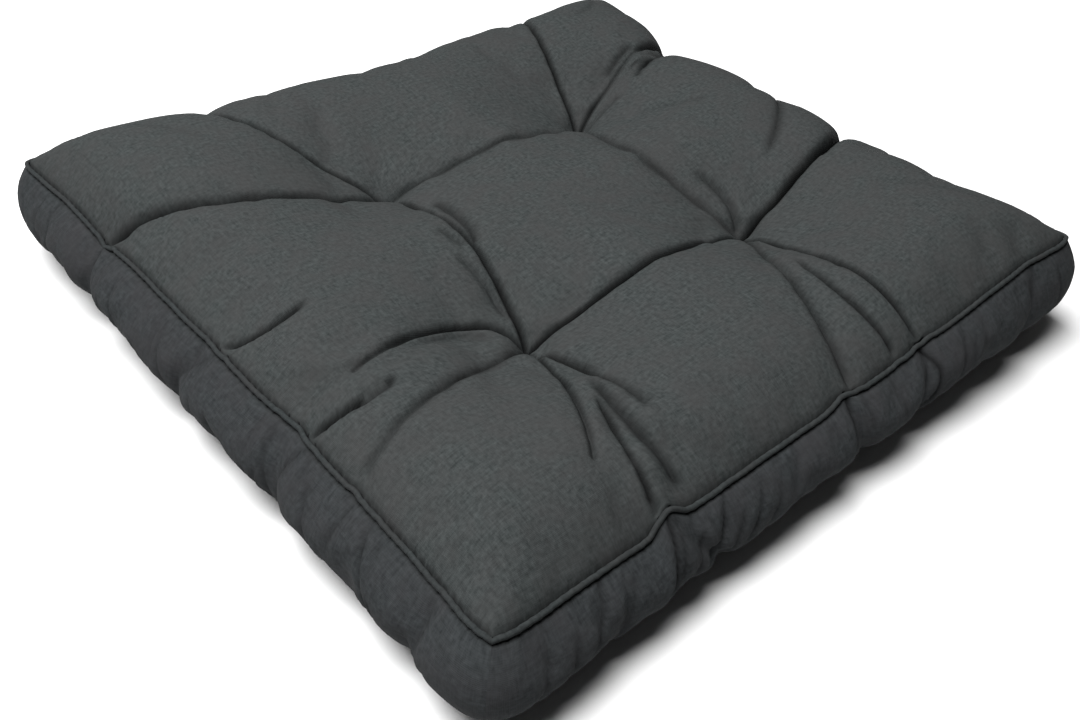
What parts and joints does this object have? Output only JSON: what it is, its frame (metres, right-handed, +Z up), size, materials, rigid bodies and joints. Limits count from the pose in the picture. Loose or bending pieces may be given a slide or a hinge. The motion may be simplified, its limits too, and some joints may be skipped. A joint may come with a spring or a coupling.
{
  "type": "tufted box-edged lounge cushion",
  "caption": "Square filled seat cushion with box edges, piped seams, tufts pulled through, and soft folds between the pillows.",
  "frame": {"origin": "middle of the cushion's bounding box in plan, on the surface it rests on", "axes": "+Z up through the thickness; +X along the front side towards the right corner; +Y along the left side towards the far corner"},
  "size_m": [0.6248, 0.625, 0.1125],
  "materials": {
    "cover_fabric": "matte charcoal grey plain weave with a faint lighter fleck, slightly fuzzy",
    "piping_fabric": "the same matte charcoal grey cloth, cut on the bias round a cord"
  },
  "bodies": {
    "root": {"cushion": "cover_fabric", "top_piping": "piping_fabric", "bottom_piping": "piping_fabric"}
  },
  "joints": []
}
